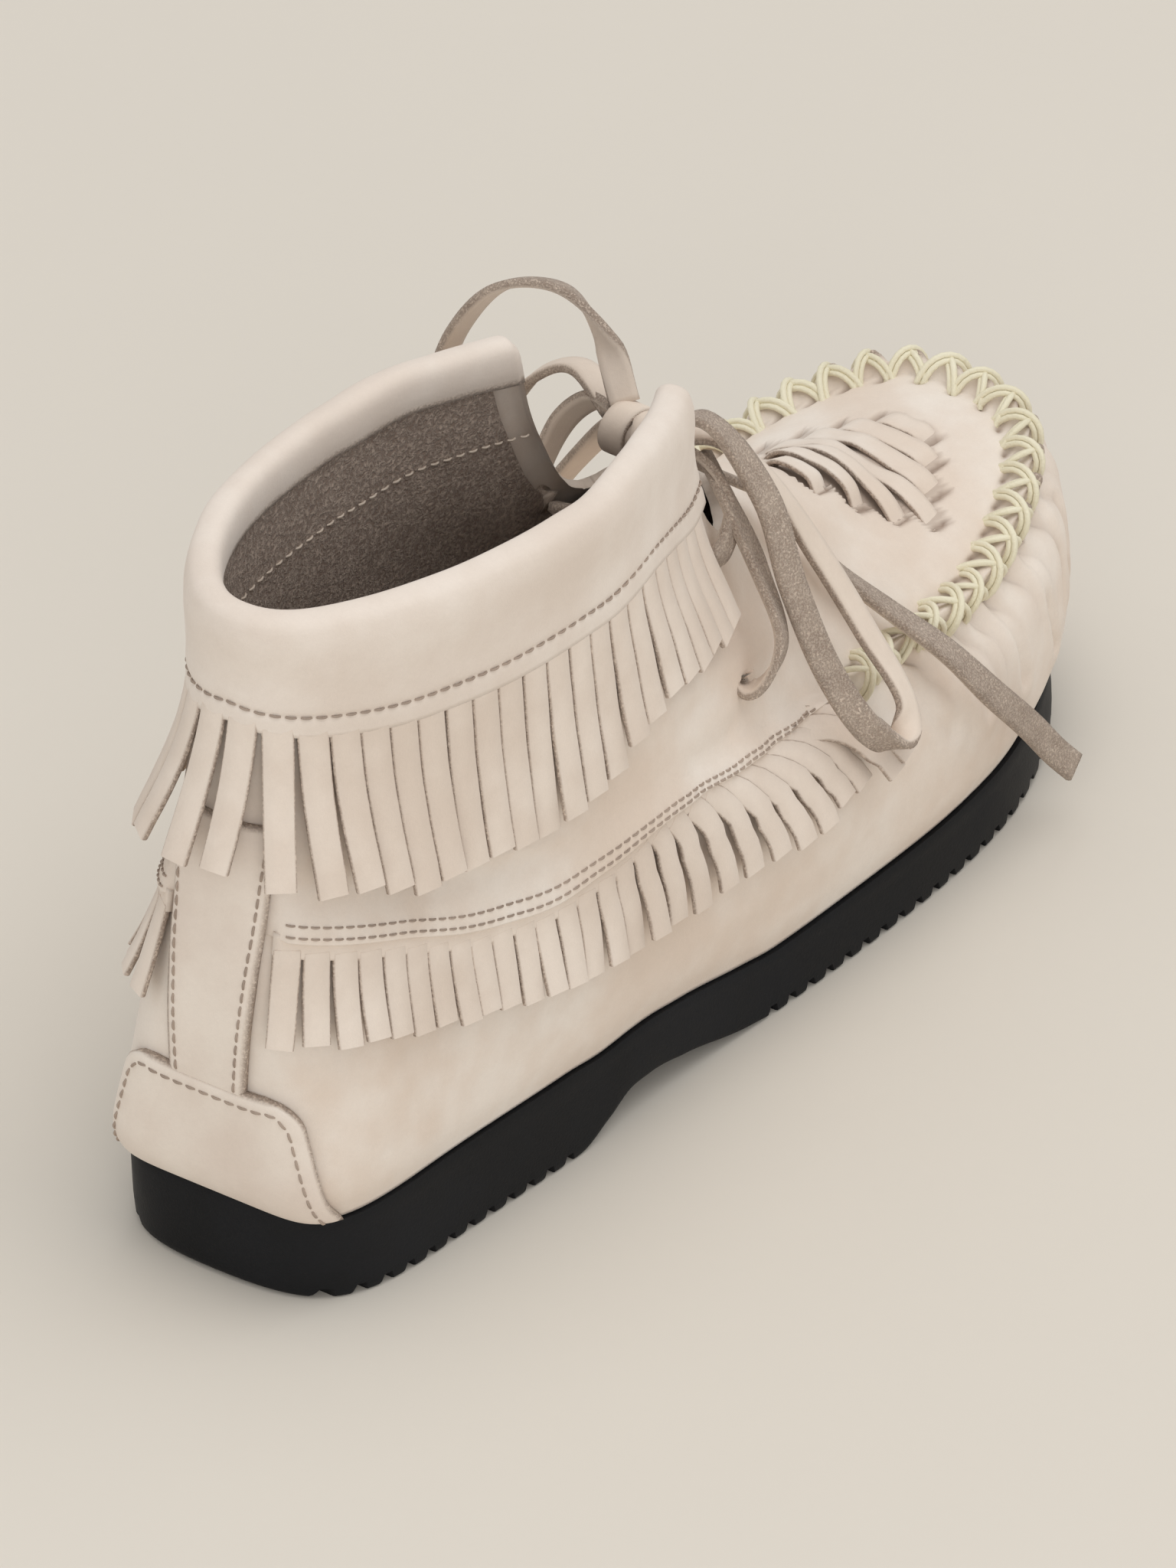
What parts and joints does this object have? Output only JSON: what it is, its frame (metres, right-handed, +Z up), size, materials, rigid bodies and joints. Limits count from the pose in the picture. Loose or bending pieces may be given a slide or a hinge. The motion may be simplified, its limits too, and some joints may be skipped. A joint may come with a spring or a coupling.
{
  "type": "moccasin boot",
  "caption": "Fringed leather ankle moccasin boot with a rolled cuff, raised laced apron, bow at the throat and a ribbed heeled rubber sole.",
  "frame": {"origin": "middle of the heel's contact face on the floor, on the shoe's middle plane", "axes": "+Y from heel to toe, +X to the outer side of the right foot, +Z up"},
  "size_m": [0.107, 0.2712, 0.1494],
  "materials": {
    "sole_rubber": "matt black moulded rubber",
    "insole_suede": "dark taupe suede",
    "upper_nubuck": "pale cream nubuck",
    "cuff_nubuck": "pale cream nubuck, rolled",
    "fringe_nubuck": "pale cream nubuck with raw cut edges",
    "trim_nubuck": "pale cream nubuck, stitched down",
    "lace_leather": "flat lace, grain on one side and suede on the other"
  },
  "bodies": {
    "root": {"outsole": "sole_rubber", "insole": "insole_suede", "upper": "upper_nubuck", "cuff_fringe": "cuff_nubuck", "side_fringe_right": "fringe_nubuck", "side_fringe_left": "fringe_nubuck", "backstay": "trim_nubuck", "heel_tab": "trim_nubuck", "lace_crossings": "lace_leather", "lace_knot": "lace_leather", "lace_loop_right": "lace_leather", "lace_loop_left": "lace_leather", "lace_end_right": "lace_leather", "lace_end_left": "lace_leather"}
  },
  "joints": []
}
